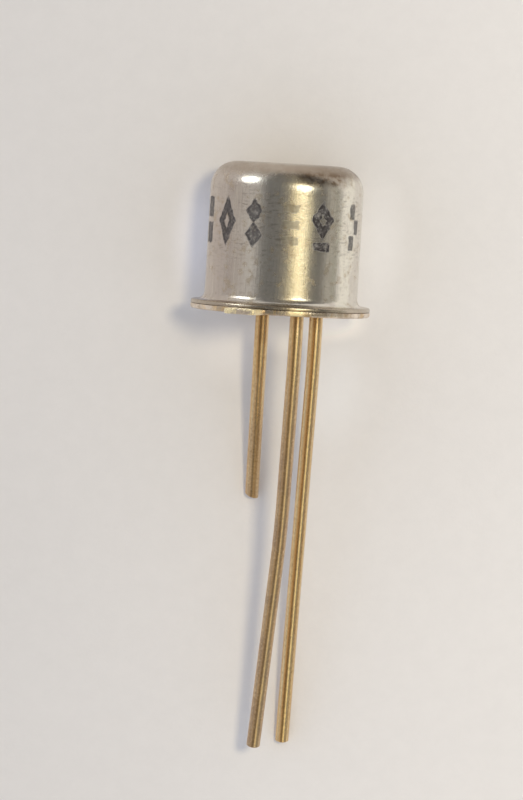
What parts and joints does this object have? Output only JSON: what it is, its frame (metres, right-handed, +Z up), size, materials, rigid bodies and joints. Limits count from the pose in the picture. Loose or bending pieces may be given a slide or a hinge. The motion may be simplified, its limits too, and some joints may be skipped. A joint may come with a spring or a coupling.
{
  "type": "pnp transistor",
  "caption": "Small-signal transistor in a hermetic round metal can: flanged header with a locating tab, glass seal and round wire leads, lying on its side.",
  "frame": {"origin": "on the table, under the middle of the part's box as it lies on its side", "axes": "+Z up from the table, +Y along the part from the leads' ends to the can's top, +X to its right"},
  "size_m": [0.0056, 0.0192, 0.0064],
  "materials": {
    "nickel_can": "satin",
    "gold_header": "satin",
    "seal_glass": "gloss",
    "gold_lead": "satin",
    "silicon": "polished",
    "gold_preform": "satin",
    "gold_wire": "gloss"
  },
  "bodies": {
    "root": {"can": "nickel_can", "header_eyelet": "gold_header", "glass_seal": "seal_glass", "emitter_lead": "gold_lead", "base_lead": "gold_lead", "collector_lead": "gold_lead", "chip": "silicon", "chip_preform": "gold_preform", "emitter_bond_wire": "gold_wire", "base_bond_wire": "gold_wire"}
  },
  "joints": []
}
